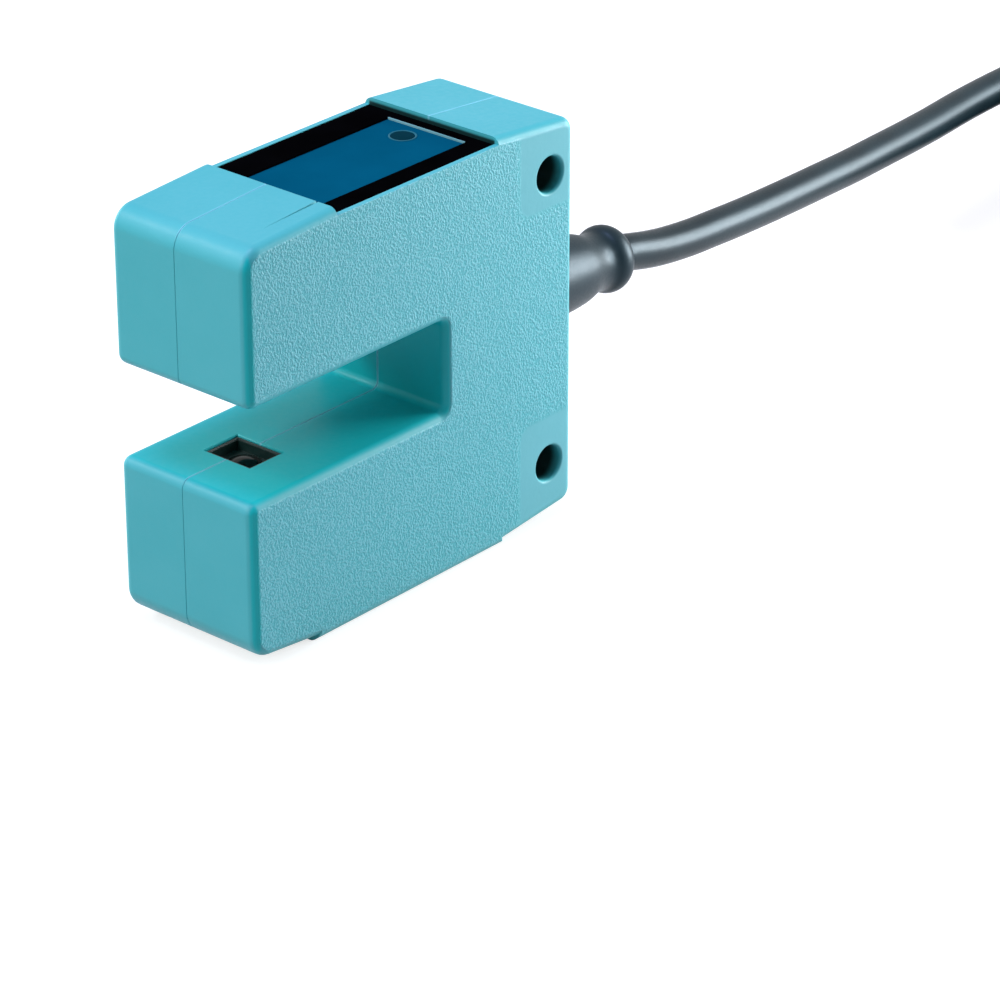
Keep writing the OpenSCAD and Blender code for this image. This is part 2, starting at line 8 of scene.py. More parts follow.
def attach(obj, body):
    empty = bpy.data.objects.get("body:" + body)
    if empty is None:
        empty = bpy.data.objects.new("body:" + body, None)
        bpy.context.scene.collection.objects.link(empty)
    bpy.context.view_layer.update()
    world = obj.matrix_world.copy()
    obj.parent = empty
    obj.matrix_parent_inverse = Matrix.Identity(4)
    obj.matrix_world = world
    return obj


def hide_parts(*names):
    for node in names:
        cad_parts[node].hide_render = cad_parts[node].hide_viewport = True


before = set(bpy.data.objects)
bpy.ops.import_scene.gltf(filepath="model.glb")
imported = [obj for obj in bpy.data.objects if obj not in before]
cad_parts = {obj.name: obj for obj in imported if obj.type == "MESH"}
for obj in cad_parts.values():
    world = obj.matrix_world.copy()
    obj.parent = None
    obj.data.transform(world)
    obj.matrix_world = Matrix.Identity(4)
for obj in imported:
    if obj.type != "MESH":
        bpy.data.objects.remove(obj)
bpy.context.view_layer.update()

MM = 0.001
ROOT = "root"

# Sizes of the part's source, in millimetres
TIP_X, REAR_X = -26.5, 26.5
SIDE_Y = 9.9
PARTING_Y = 0.4
TOP_Z = 50.0
RIM_ROUND = 1.1
SEAM_BEVEL = 0.12
WALL = 2.0
SLOT_FLOOR, SLOT_CEILING, SLOT_END = 20.1, 31.1, 4.8
RECESS_X, RECESS_END = -12.3, 13.7
LIP_Z, POCKET_Z, LIP_Y = 49.15, 47.9, 9.2
HOLLOW_LOW, HOLLOW_HIGH = 2.5, 46.7
HOLLOW_SIDE, HOLLOW_REAR = 18.55, 24.3
HOLE_X, HOLE_R, HOLE_Z = 22.4, 2.15, (7.4, 43.0)
HOLE_MOUTH, CREST_ROUND, LIP_ROUND = 0.38, 0.22, 0.42
PAD_X, PAD_LOW, PAD_HIGH, PAD_CORNER = 17.1, 13.6, 38.9, 2.0
BOSS_REACH = 3.85
BEAM_X = -16.9
LAMP_X, LAMP_R = 9.4, 1.5
BOOT_Z, BOOT_R, BOOT_LENGTH, BOOT_LEAN = 24.5, 5.7, 20.2, math.radians(5.5)
CABLE_D = 4.5
COIL_X, COIL_RUN, COIL_R, COIL_HIGH = 148.5, 72.0, 16.0, 4
REST_GAP = 0.05
CORE_D, CORE_PITCH, LEAD_LENGTH, LEAD_TIP_R = 1.3, 1.55, 24.0, 0.36


def at(x, y, z):
    """A point given in millimetres, in metres."""
    return Vector((x * MM, y * MM, z * MM))


# Camera

CAMERA_PLACE = at(-328.867, -305.25, 230.74)
CAMERA_RIGHT = Vector((0.65272, -0.75760, -0.00038))
CAMERA_UP = Vector((0.33736, 0.29021, 0.89553))
CAMERA_BACK = Vector((-0.67834, -0.58466, 0.44500))


def add_camera():
    data = bpy.data.cameras.new("photo_camera")
    data.sensor_width = 36
    data.lens = 160.33
    data.clip_start = 0.02
    data.clip_end = 20
    camera = bpy.data.objects.new("photo_camera", data)
    bpy.context.scene.collection.objects.link(camera)
    axes = Matrix((CAMERA_RIGHT, CAMERA_UP, CAMERA_BACK)).transposed().to_4x4()
    camera.matrix_world = Matrix.Translation(CAMERA_PLACE) @ axes
    bpy.context.scene.camera = camera


add_camera()


# Materials

class Net:
    """A node tree with short ways to add and join nodes."""

    def __init__(self, tree):
        self.tree = tree

    def add(self, kind, **values):
        node = self.tree.nodes.new(kind)
        for name, value in values.items():
            setattr(node, name, value)
        return node

    def feed(self, socket, value):
        if isinstance(value, bpy.types.NodeSocket):
            self.tree.links.new(value, socket)
        else:
            socket.default_value = value

    def feed_all(self, node, values):
        for name, value in values.items():
            self.feed(node.inputs[name], value)

    def calc(self, operation, *values):
        node = self.add("ShaderNodeMath", operation=operation)
        for socket, value in zip(node.inputs, values):
            self.feed(socket, value)
        return node.outputs[0]

    def all_of(self, mask, *others):
        """Product of masks."""
        for other in others:
            mask = self.calc("MULTIPLY", mask, other)
        return mask

    def hypot(self, a, b):
        squares = [self.calc("MULTIPLY", side, side) for side in (a, b)]
        return self.calc("SQRT", self.calc("ADD", *squares))

    def ramp(self, value, low, high, to_low=0.0, to_high=1.0):
        """Smooth step of a value from one range to another."""
        node = self.add("ShaderNodeMapRange", interpolation_type="SMOOTHSTEP")
        self.feed_all(node, {"Value": value, "From Min": low, "From Max": high,
                             "To Min": to_low, "To Max": to_high})
        return node.outputs["Result"]

    def rise(self, length, low, high):
        """0 up to the lower length and 1 from the higher one, both in millimetres."""
        return self.ramp(length, low * MM, high * MM)

    def fall(self, length, low, high):
        """1 up to the lower length and 0 from the higher one, both in millimetres."""
        return self.ramp(length, low * MM, high * MM, 1.0, 0.0)

    def past(self, coordinate, level):
        """How far a coordinate lies past a level in millimetres."""
        return self.calc("SUBTRACT", coordinate, level * MM)

    def apart(self, coordinate, level):
        """Distance of a coordinate from a level in millimetres, on either side."""
        return self.calc("ABSOLUTE", self.past(coordinate, level))

    def blend(self, mask, first, second):
        """Colour between two colours by a mask."""
        node = self.add("ShaderNodeMix", data_type="RGBA")
        self.feed(node.inputs[0], mask)
        for index, colour in ((6, first), (7, second)):
            self.feed(node.inputs[index], (*colour, 1.0) if isinstance(colour, tuple) else colour)
        return node.outputs[2]

    def noise(self, vector, scale, detail):
        node = self.add("ShaderNodeTexNoise")
        self.feed_all(node, {"Vector": vector, "Scale": scale, "Detail": detail})
        return node.outputs["Fac"]

    def place(self):
        return self.add("ShaderNodeTexCoord").outputs["Object"]

    def axes(self, vector):
        node = self.add("ShaderNodeSeparateXYZ")
        self.feed(node.inputs[0], vector)
        return node.outputs

    def group(self, tree, **values):
        node = self.add("ShaderNodeGroup", node_tree=tree)
        self.feed_all(node, {name.replace("_", " ").capitalize(): value
                             for name, value in values.items()})
        return node

    def bump(self, height, distance):
        node = self.add("ShaderNodeBump")
        self.feed_all(node, {"Strength": 1.0, "Distance": distance, "Height": height})
        return node.outputs["Normal"]


def new_group(name, sizes, outputs):
    """A node group that reads a vector and named sizes, and puts out values."""
    tree = bpy.data.node_groups.new(name, "ShaderNodeTree")
    tree.interface.new_socket("Vector", in_out="INPUT", socket_type="NodeSocketVector")
    for label, size in sizes:
        socket = tree.interface.new_socket(label, in_out="INPUT", socket_type="NodeSocketFloat")
        socket.default_value = size * MM
    for label in outputs:
        tree.interface.new_socket(label, in_out="OUTPUT", socket_type="NodeSocketFloat")
    return Net(tree), tree.nodes.new("NodeGroupInput"), tree.nodes.new("NodeGroupOutput")


def make_spark_grain():
    """Grain of a spark-eroded mould: soft pits of one size, with finer ones between them."""
    net, start, end = new_group("spark_grain", [("Pit size", 0.4)], ["Height"])
    vector = start.outputs["Vector"]
    scale = net.calc("DIVIDE", 1.0, start.outputs["Pit size"])
    pits = net.ramp(net.noise(vector, scale, 1.0), 0.25, 0.75)
    fine = net.noise(vector, net.calc("MULTIPLY", scale, 2.1), 1.0)
    net.feed(end.inputs["Height"], net.calc("ADD", pits, net.calc("MULTIPLY", fine, 0.7)))
    return net.tree


def make_cloudiness():
    """Slow change of shade over a moulding, with a little fine unevenness."""
    net, start, end = new_group("cloudiness", [("Patch size", 12.0)], ["Mask", "Skin"])
    vector = start.outputs["Vector"]
    scale = net.calc("DIVIDE", 1.0, start.outputs["Patch size"])
    net.feed(end.inputs["Mask"], net.ramp(net.noise(vector, scale, 3.0), 0.3, 0.7))
    net.feed(end.inputs["Skin"], net.noise(vector, net.calc("MULTIPLY", scale, 22.0), 2.0))
    return net.tree


def make_screw_pads():
    """Mask of the smooth pads around the screw holes, with a round inner corner."""
    net, start, end = new_group("screw_pads", [], ["Pad"])
    x, y, z = net.axes(start.outputs["Vector"])
    pads = []
    for edge, way in ((PAD_HIGH, 1), (PAD_LOW, -1)):
        across = net.calc("SUBTRACT", (PAD_X + PAD_CORNER) * MM, x)
        level = net.calc("MULTIPLY", net.past(z, edge + way * PAD_CORNER), -way)
        reach = net.hypot(net.calc("MAXIMUM", across, 0.0), net.calc("MAXIMUM", level, 0.0))
        pads.append(net.fall(reach, PAD_CORNER - 0.5, PAD_CORNER + 0.4))
    net.feed(end.inputs["Pad"], net.calc("MAXIMUM", *pads))
    return net.tree


def make_painted_light_masks():
    """Masks: painted shade in the slot, on tip edges, in holes and at the recess end; a painted
    seam highlight.
    """
    net, start, end = new_group("painted_light_masks", [], ["Painted slot and edge shade", "Dark", "Seam"])
    x, y, z = net.axes(start.outputs["Vector"])
    off_side = net.calc("ABSOLUTE", y)

    half_slot = (SLOT_CEILING - SLOT_FLOOR) / 2
    level = net.apart(z, (SLOT_FLOOR + SLOT_CEILING) / 2)
    # Painted shade: deeper, more saturated teal over the slot's floor, ceiling and end, where shade
    # and bounced light fall
    slot = net.all_of(net.fall(level, half_slot - 0.1, half_slot + 0.5),
                      net.fall(x, SLOT_END + 0.6, SLOT_END + 1.0),
                      net.fall(off_side, SIDE_Y - 0.18, SIDE_Y - 0.02),
                      net.rise(x, TIP_X + 0.1, TIP_X + 1.1))
    # Painted shade along the vertical edges where the tips meet the side faces
    tip_edge = net.all_of(net.rise(off_side, SIDE_Y - 0.75, SIDE_Y - 0.35),
                          net.fall(x, TIP_X + 0.75, TIP_X + 1.2))
    net.feed(end.inputs["Painted slot and edge shade"], net.calc("MAXIMUM", slot, tip_edge))

    # Painted shade: near-black down the screw bores
    across = net.past(x, HOLE_X)
    bores = [net.fall(net.hypot(across, net.past(z, hole_z)), HOLE_R + 0.1, HOLE_R + 0.3)
             for hole_z in HOLE_Z]
    bore = net.all_of(net.calc("MAXIMUM", *bores), net.fall(off_side, SIDE_Y - 1.7, SIDE_Y - 0.2))
    # Painted shade on the recess's rear wall just under the crest
    recess_wall = net.all_of(net.fall(net.apart(x, RECESS_END), 0.05, 0.2),
                             net.fall(z, TOP_Z - 0.6, TOP_Z - 0.25),
                             net.fall(off_side, LIP_Y - 0.1, LIP_Y + 0.2))
    net.feed(end.inputs["Dark"], net.calc("MAXIMUM", bore, recess_wall))

    # Painted highlight: a pale line along the parting line, on all but the tip faces
    seam = net.all_of(net.fall(net.apart(y, PARTING_Y), 0.10, 0.18),
                      net.rise(x, TIP_X + 0.2, TIP_X + 1.2))
    net.feed(end.inputs["Seam"], seam)
    return net.tree


SPARK_GRAIN = make_spark_grain()
CLOUDINESS = make_cloudiness()
SCREW_PADS = make_screw_pads()
PAINTED_LIGHT_MASKS = make_painted_light_masks()


def new_material(name, specular=0.5):
    material = bpy.data.materials.new(name)
    material.use_nodes = True
    shader = material.node_tree.nodes["Principled BSDF"]
    shader.inputs["Specular IOR Level"].default_value = specular
    return material, Net(material.node_tree), shader


# Pairs of teals that clouds or flecks run between, then painted shade and a painted highlight in
# single places
TEAL_PLAIN = (0.052, 0.398, 0.436), (0.064, 0.418, 0.458)
TEAL_PAD = (0.122, 0.440, 0.498), (0.138, 0.460, 0.520)
TEAL_FLECKED = (0.085, 0.425, 0.480), (0.135, 0.475, 0.540)
# Painted shade for the slot, tip edges, bores and recess wall, and a painted highlight for the seam
TEAL_PAINTED_LIGHT = {"Painted slot and edge shade": (0.001, 0.465, 0.490), "Seam": (0.160, 0.530, 0.620),
              "Dark": (0.001, 0.022, 0.022)}


def teal_moulding():
    """Satin teal plastic: grain on both side faces, smooth pads, rims and inner faces; painted
    shade and a painted seam highlight.
    """
    material, net, shader = new_material("teal_moulding", specular=0.32)
    place = net.place()
    cloud = net.group(CLOUDINESS, vector=place, patch_size=14 * MM)
    grain = net.group(SPARK_GRAIN, vector=place, pit_size=0.27 * MM)
    on_pad = net.group(SCREW_PADS, vector=place).outputs["Pad"]
    painted_light_masks = net.group(PAINTED_LIGHT_MASKS, vector=place)
    side = net.rise(net.calc("ABSOLUTE", net.axes(place)["Y"]), SIDE_Y - 0.10, SIDE_Y - 0.01)
    grained = net.all_of(side, net.calc("SUBTRACT", 1.0, on_pad))

    colour = net.blend(cloud.outputs["Mask"], *TEAL_PLAIN)
    pad_colour = net.blend(cloud.outputs["Mask"], *TEAL_PAD)
    colour = net.blend(net.all_of(side, on_pad), colour, pad_colour)
    fleck = net.ramp(grain.outputs["Height"], 0.6, 1.2)
    colour = net.blend(grained, colour, net.blend(fleck, *TEAL_FLECKED))
    # Lays the painted shade and the painted seam highlight over the moulding's colour
    for mask, tone in TEAL_PAINTED_LIGHT.items():
        colour = net.blend(painted_light_masks.outputs[mask], colour, tone)
    net.feed(shader.inputs["Base Color"], colour)

    smooth_gloss = net.ramp(cloud.outputs["Skin"], 0.2, 0.8, 0.40, 0.48)
    grain_gloss = net.calc("MULTIPLY", grained, -0.06)
    net.feed(shader.inputs["Roughness"], net.calc("ADD", smooth_gloss, grain_gloss))
    skin = net.calc("MULTIPLY", cloud.outputs["Skin"], 0.30)
    height = net.calc("ADD", net.all_of(grain.outputs["Height"], grained), skin)
    net.feed(shader.inputs["Normal"], net.bump(height, 0.042 * MM))
    return material


def plain_plastic(name, dark, light, roughness, grain=0.25, depth=0.01, specular=0.5, patch=6.0,
                  gloss_tint=(1, 1, 1)):
    """Moulded plastic or rubber with slow shade changes and a fine skin; lengths in millimetres."""
    material, net, shader = new_material(name, specular)
    shader.inputs["Specular Tint"].default_value = (*gloss_tint, 1)
    place = net.place()
    cloud = net.group(CLOUDINESS, vector=place, patch_size=patch * MM)
    pits = net.group(SPARK_GRAIN, vector=place, pit_size=grain * MM)
    net.feed(shader.inputs["Base Color"], net.blend(cloud.outputs["Mask"], dark, light))
    net.feed(shader.inputs["Roughness"],
             net.ramp(cloud.outputs["Skin"], 0.2, 0.8, roughness - 0.05, roughness + 0.05))
    net.feed(shader.inputs["Normal"], net.bump(pits.outputs["Height"], depth * MM))
    return material


def brushed_tin():
    material, net, shader = new_material("brushed_tin")
    cloud = net.group(CLOUDINESS, vector=net.place(), patch_size=2 * MM)
    shader.inputs["Metallic"].default_value = 1.0
    net.feed(shader.inputs["Base Color"],
             net.blend(cloud.outputs["Mask"], (0.58, 0.57, 0.54), (0.66, 0.65, 0.62)))
    net.feed(shader.inputs["Roughness"], net.ramp(cloud.outputs["Skin"], 0.2, 0.8, 0.28, 0.42))
    return material


TEAL = teal_moulding()
TIN = brushed_tin()
WINDOW_BLUE = plain_plastic("window_blue", (0.0005, 0.072, 0.128), (0.0008, 0.084, 0.150), 0.30,
                            grain=0.6, depth=0.001, specular=0.0, patch=9.0)
FILM_BLACK = plain_plastic("film_black", (0.0008, 0.0008, 0.001), (0.0014, 0.0014, 0.0018), 0.40,
                           grain=0.3, depth=0.003, specular=0.0)
# A pale strip that stands for light caught by the pane's rear edge: painted highlight
PAINTED_EDGE_HIGHLIGHT = plain_plastic("painted_edge_highlight", (0.15, 0.36, 0.38), (0.20, 0.42, 0.44), 0.40,
                          grain=0.3, depth=0.003, specular=0.0)
LAMP_GLASS = plain_plastic("lamp_glass", (0.002, 0.026, 0.036), (0.004, 0.036, 0.050), 0.20,
                           grain=0.5, depth=0.001, specular=0.0)
LAMP_RING = plain_plastic("lamp_ring", (0.015, 0.12, 0.16), (0.025, 0.15, 0.19), 0.35,
                          grain=0.3, depth=0.002, specular=0.03)
HOLDER_GREEN = plain_plastic("holder_green", (0.004, 0.020, 0.018), (0.008, 0.030, 0.026), 0.35,
                             grain=0.3, depth=0.006, specular=0.35)
LENS_DARK = plain_plastic("lens_dark", (0.003, 0.007, 0.006), (0.005, 0.011, 0.009), 0.15,
                          grain=0.6, depth=0.001, specular=0.2)
BOOT_RUBBER = plain_plastic("boot_rubber", (0.003, 0.011, 0.015), (0.006, 0.016, 0.022), 0.40,
                            grain=0.3, depth=0.001, specular=0.30, gloss_tint=(0.62, 0.86, 1.0))
JACKET = plain_plastic("cable_jacket", (0.003, 0.008, 0.011), (0.005, 0.013, 0.017), 0.38,
                       grain=0.3, depth=0.001, specular=0.30, gloss_tint=(0.66, 0.88, 1.0))
BAND_BLACK = plain_plastic("band_black", (0.012, 0.012, 0.013), (0.018, 0.018, 0.020), 0.45)
BOARD_GREEN = plain_plastic("board_mask", (0.010, 0.115, 0.035), (0.016, 0.150, 0.048), 0.35,
                            grain=0.3, depth=0.006)
CHIP_BLACK = plain_plastic("chip_black", (0.010, 0.010, 0.011), (0.017, 0.017, 0.018), 0.50)
DIODE_RESIN = plain_plastic("diode_resin", (0.008, 0.007, 0.014), (0.014, 0.011, 0.022), 0.15,
                            grain=0.5, depth=0.002)
LAMP_RESIN = plain_plastic("lamp_resin", (0.52, 0.54, 0.52), (0.58, 0.60, 0.57), 0.20,
                           grain=0.5, depth=0.002)
CORES = {
    "brown": plain_plastic("core_brown", (0.070, 0.024, 0.008), (0.090, 0.032, 0.011), 0.40),
    "blue": plain_plastic("core_blue", (0.004, 0.022, 0.200), (0.007, 0.032, 0.250), 0.40),
    "black": plain_plastic("core_black", (0.006, 0.006, 0.007), (0.011, 0.011, 0.012), 0.40)}


# Making of pieces

def finish_mesh(bm, name):
    """The bmesh as a mesh whose faces point outwards."""
    bmesh.ops.remove_doubles(bm, verts=bm.verts, dist=1e-7)
    bmesh.ops.recalc_face_normals(bm, faces=bm.faces)
    mesh = bpy.data.meshes.new(name)
    bm.to_mesh(mesh)
    bm.free()
    return mesh


def new_object(name, data):
    piece = bpy.data.objects.new(name, data)
    bpy.context.scene.collection.objects.link(piece)
    return piece


def shade(piece, angle=32):
    """Smooth shading that keeps flat faces flat and edges over the angle sharp."""
    piece.data.shade_smooth()
    piece.data.set_sharp_from_angle(angle=math.radians(angle))
    weighted = piece.modifiers.new("face_weights", "WEIGHTED_NORMAL")
    weighted.keep_sharp = True
    weighted.weight = 90


def settle(piece, material, slot, *nodes):
    """Gives a finished piece its material, its body and the CAD nodes that it stands for."""
    piece.data.materials.append(material)
    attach(piece, ROOT)
    if nodes:
        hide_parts(*nodes)
    return piece


def finish_piece(bm, name, *finish, angle=32):
    piece = new_object(name, finish_mesh(bm, name))
    shade(piece, angle)
    return settle(piece, *finish)


def sweep(start, end, steps):
    """Angles in even steps from one to the other, with both ends."""
    return [start + (end - start) * k / steps for k in range(steps + 1)]


def box(bm, low, high):
    """A box between two corners, in millimetres."""
    made = bmesh.ops.create_cube(bm, size=1.0)["verts"]
    size = [(h - l) * MM for l, h in zip(low, high)]
    middle = at(*[(l + h) / 2 for l, h in zip(low, high)])
    bmesh.ops.scale(bm, vec=size, verts=made)
    bmesh.ops.translate(bm, vec=middle, verts=made)


def round_edges(bm, edges, offset, segments, clamp=False):
    bmesh.ops.bevel(bm, geom=edges, offset=offset * MM, segments=segments, profile=0.5,
                    affect="EDGES", material=-1, clamp_overlap=clamp)


def shift(bm, geom, way):
    """Moves the vertices among the geometry by a vector in millimetres."""
    verts = [part for part in geom if isinstance(part, bmesh.types.BMVert)]
    bmesh.ops.translate(bm, vec=at(*way), verts=verts)


def draw_out(bm, faces, way):
    """Extrudes faces by a vector in millimetres."""
    shift(bm, bmesh.ops.extrude_face_region(bm, geom=faces)["geom"], way)


def draw_outline(bm, points, way):
    """A flat outline drawn out to a solid, all in millimetres."""
    draw_out(bm, [bm.faces.new([bm.verts.new(at(*p)) for p in points])], way)


def set_corners(face, low, high, z):
    """Puts the corners of a four-cornered face on those of a level rectangle, in millimetres."""
    middle = face.calc_center_median()
    for v in face.verts:
        v.co = at(high[0] if v.co.x > middle.x else low[0],
                  high[1] if v.co.y > middle.y else low[1], z)


def step_face(bm, face, rings):
    """Draws a face out through rings of (half length, half width, height) about the beam."""
    for index, (half_x, half_y, z) in enumerate(rings):
        if index:
            face = bmesh.ops.extrude_discrete_faces(bm, faces=[face])["faces"][0]
        set_corners(face, (BEAM_X - half_x, PARTING_Y - half_y),
                    (BEAM_X + half_x, PARTING_Y + half_y), z)


def lathe(bm, profile, place, axis, steps=64):
    """Turns a profile of (radius, distance along the axis) points about an axis."""
    rows = [bm.verts.new((r * MM, 0.0, d * MM)) for r, d in profile]
    edges = [bm.edges.new(pair) for pair in zip(rows, rows[1:])]
    bmesh.ops.spin(bm, geom=rows + edges, cent=(0, 0, 0), axis=(0, 0, 1), angle=2 * math.pi,
                   steps=steps, use_merge=True)
    bmesh.ops.remove_doubles(bm, verts=[v for v in bm.verts if not v.tag], dist=1e-7)
    turned = [v for v in bm.verts if not v.tag]
    turn = Vector((0, 0, 1)).rotation_difference(Vector(axis)).to_matrix().to_4x4()
    bmesh.ops.transform(bm, matrix=Matrix.Translation(place) @ turn, verts=turned)
    for v in turned:
        v.tag = True


def turned_piece(name, profile, place, axis, steps, *finish):
    bm = bmesh.new()
    lathe(bm, profile, place, axis, steps)
    return finish_piece(bm, name, *finish)


def bevelled_box(name, low, high, offset, *finish):
    bm = bmesh.new()
    box(bm, low, high)
    round_edges(bm, bm.edges[:], offset, 2)
    return finish_piece(bm, name, *finish)


def tube(name, line, radius, resolution, *finish):
    """Round curve with closed ends along a line of points, in millimetres."""
    curve = bpy.data.curves.new(name, "CURVE")
    curve.dimensions = "3D"
    curve.bevel_depth = radius * MM
    curve.bevel_resolution = resolution
    curve.use_fill_caps = True
    spline = curve.splines.new("POLY")
    spline.points.add(len(line) - 1)
    for point, p in zip(spline.points, line):
        point.co = (*at(*p), 1.0)
    return settle(new_object(name, curve), *finish)


def cutter(name, build):
    bm = bmesh.new()
    build(bm)
    return new_object(name, finish_mesh(bm, name))


def carve(piece, cutters):
    """Cuts the shapes out of a piece and keeps the result as its mesh."""
    for shape in cutters:
        cut = piece.modifiers.new(shape.name, "BOOLEAN")
        cut.operation = "DIFFERENCE"
        cut.solver = "EXACT"
        cut.object = shape
    view = bpy.context.evaluated_depsgraph_get()
    carved = bpy.data.meshes.new_from_object(piece.evaluated_get(view))
    piece.modifiers.clear()
    old = piece.data
    piece.data = carved
    bpy.data.meshes.remove(old)


# Housing

# Corners of the C outline as (x, z, radius of the corner)
OUTLINE = [
    (TIP_X, 1.5, 2.5), (-16.8, 0.5, 0), (-16.8, 0, 0), (14.9, 0, 0), (14.9, 0.5, 0),
    (REAR_X, 1.6, 1.5), (REAR_X, 48.8, 1.5), (RECESS_END, TOP_Z, 0), (RECESS_X, TOP_Z, 0),
    (TIP_X, 49.25, 2.5), (TIP_X, SLOT_CEILING, 1.2), (SLOT_END, SLOT_CEILING, 0.9),
    (SLOT_END, SLOT_FLOOR, 0.9), (TIP_X, SLOT_FLOOR, 1.2)]
HOLLOW = [
    (TIP_X + WALL, HOLLOW_LOW), (HOLLOW_SIDE, HOLLOW_LOW),
    (HOLLOW_SIDE, HOLE_Z[0] + BOSS_REACH), (HOLLOW_REAR, HOLE_Z[0] + BOSS_REACH),
    (HOLLOW_REAR, HOLE_Z[1] - BOSS_REACH), (HOLLOW_SIDE, HOLE_Z[1] - BOSS_REACH),
    (HOLLOW_SIDE, HOLLOW_HIGH), (TIP_X + WALL, HOLLOW_HIGH),
    (TIP_X + WALL, SLOT_CEILING + WALL), (SLOT_END + WALL, SLOT_CEILING + WALL),
    (SLOT_END + WALL, SLOT_FLOOR - WALL), (TIP_X + WALL, SLOT_FLOOR - WALL)]
# Steps of a beam window as (half length, half width, depth in the wall): bevelled rim, then a ledge
APERTURE_RINGS = [(2.72, 3.52, 0.0), (2.6, 3.4, 0.12), (2.6, 3.4, 0.5), (2.2, 3.0, 0.5),
                  (2.2, 3.0, 3.0)]


def rounded_block(side_y):
    """Solid half: the C outline with round corners, a round rim and a bevel at the seam."""
    bm = bmesh.new()
    corners = [bm.verts.new(at(x, side_y, z)) for x, z, r in OUTLINE]
    bm.faces.new(corners)
    for radius in sorted({r for x, z, r in OUTLINE if r}):
        chosen = [v for v, (x, z, r) in zip(corners, OUTLINE) if r == radius]
        bmesh.ops.bevel(bm, geom=chosen, offset=radius * MM, segments=8, profile=0.5,
                        affect="VERTICES", material=-1, clamp_overlap=False)
    draw_out(bm, bm.faces[:], (0, PARTING_Y - side_y, 0))
    bmesh.ops.recalc_face_normals(bm, faces=bm.faces)
    for level, offset, segments in ((side_y, RIM_ROUND, 8), (PARTING_Y, SEAM_BEVEL, 2)):
        rim = [e for e in bm.edges if all(abs(v.co.y - level * MM) < 1e-7 for v in e.verts)]
        round_edges(bm, rim, offset, segments)
    return bm


def window_cut(side):
    """Recess across the top and the deeper pocket for the window, as one stepped channel."""
    outside, inside, above = side * (SIDE_Y + 2.1), PARTING_Y - side, TOP_Z + 3
    section = [(outside, LIP_Z), (side * LIP_Y, LIP_Z), (side * LIP_Y, POCKET_Z),
               (inside, POCKET_Z), (inside, above), (outside, above)]

    def build(bm):
        draw_outline(bm, [(RECESS_X, y, z) for y, z in section], (RECESS_END - RECESS_X, 0, 0))
    return build


def hole_cut(side):
    """Screw holes whose mouths open with a small round."""
    mouth = [(HOLE_R + HOLE_MOUTH * (1 - math.sin(t)), HOLE_MOUTH * (1 - math.cos(t)))
             for t in sweep(0, math.pi / 2, 6)]
    outside, depth = -1, 12
    profile = ([(0, outside), (HOLE_R + HOLE_MOUTH, outside)] + mouth
               + [(HOLE_R, depth), (0, depth)])

    def build(bm):
        for z in HOLE_Z:
            lathe(bm, profile, at(HOLE_X, side * SIDE_Y, z), (0, -side, 0))
    return build


def hollow_cut(side):
    """Inside of the case, which keeps one wall thickness."""
    inner = side * (SIDE_Y - WALL)

    def build(bm):
        draw_outline(bm, [(x, inner, z) for x, z in HOLLOW], (0, PARTING_Y - side - inner, 0))
    return build


def aperture_cut(bm):
    """Stepped windows of the beam in both arms, with a fine bevel at their rims."""
    half_x, half_y = APERTURE_RINGS[0][:2]
    for face_z, way in ((SLOT_FLOOR, -1), (SLOT_CEILING, 1)):
        levels = sorted((face_z, face_z - way))
        box(bm, (BEAM_X - half_x, PARTING_Y - half_y, levels[0]),
            (BEAM_X + half_x, PARTING_Y + half_y, levels[1]))
        rim = min(bm.faces, key=lambda f: abs(f.calc_center_median().z - face_z * MM))
        step_face(bm, rim, [(x, y, face_z + way * depth) for x, y, depth in APERTURE_RINGS])


def bore_cut(bm):
    """Seat of the boot in the rear wall and the lamp's hole under the window."""
    for radius, length, place, axis, steps in (
            (BOOT_R + 0.1, 6, at(REAR_X - WALL - 1, PARTING_Y, BOOT_Z), (1, 0, 0), 64),
            (LAMP_R + 0.2, 3, at(LAMP_X, PARTING_Y, HOLLOW_HIGH - 1), (0, 0, 1), 48)):
        lathe(bm, [(0, 0), (radius, 0), (radius, length), (0, length)], place, axis, steps)


def witness_groove(bm):
    """Fine groove on top of the front block that runs out towards the tip."""
    rear, front, y = RECESS_X + 0.5, -20.6, -7.0
    points = [(rear, y - 0.24, 50.2), (rear, y + 0.24, 50.2), (rear, y, 49.5),
              (front, y - 0.03, 49.75), (front, y + 0.03, 49.75), (front, y, 49.55)]
    bmesh.ops.convex_hull(bm, input=[bm.verts.new(at(*p)) for p in points])


def soften(piece, side):
    """Small rounds on the crests beside the recess and along its lip."""
    bm = bmesh.new()
    bm.from_mesh(piece.data)

    def on_crest(v, x):
        return abs(v.co.x - x * MM) < 0.02 * MM and v.co.z > (LIP_Z + 0.04) * MM

    def on_lip(v):
        off = v.co.y - side * (SIDE_Y - 0.03) * MM, v.co.z - LIP_Z * MM
        return max(map(abs, off)) < 0.06 * MM

    for x in (RECESS_X, RECESS_END):
        crest = [e for e in bm.edges if all(on_crest(v, x) for v in e.verts)]
        round_edges(bm, crest, CREST_ROUND, 3, clamp=True)
    lip = [e for e in bm.edges if all(map(on_lip, e.verts)) and e.calc_length() > 5 * MM]
    round_edges(bm, lip, LIP_ROUND, 4, clamp=True)
    bm.to_mesh(piece.data)
    bm.free()


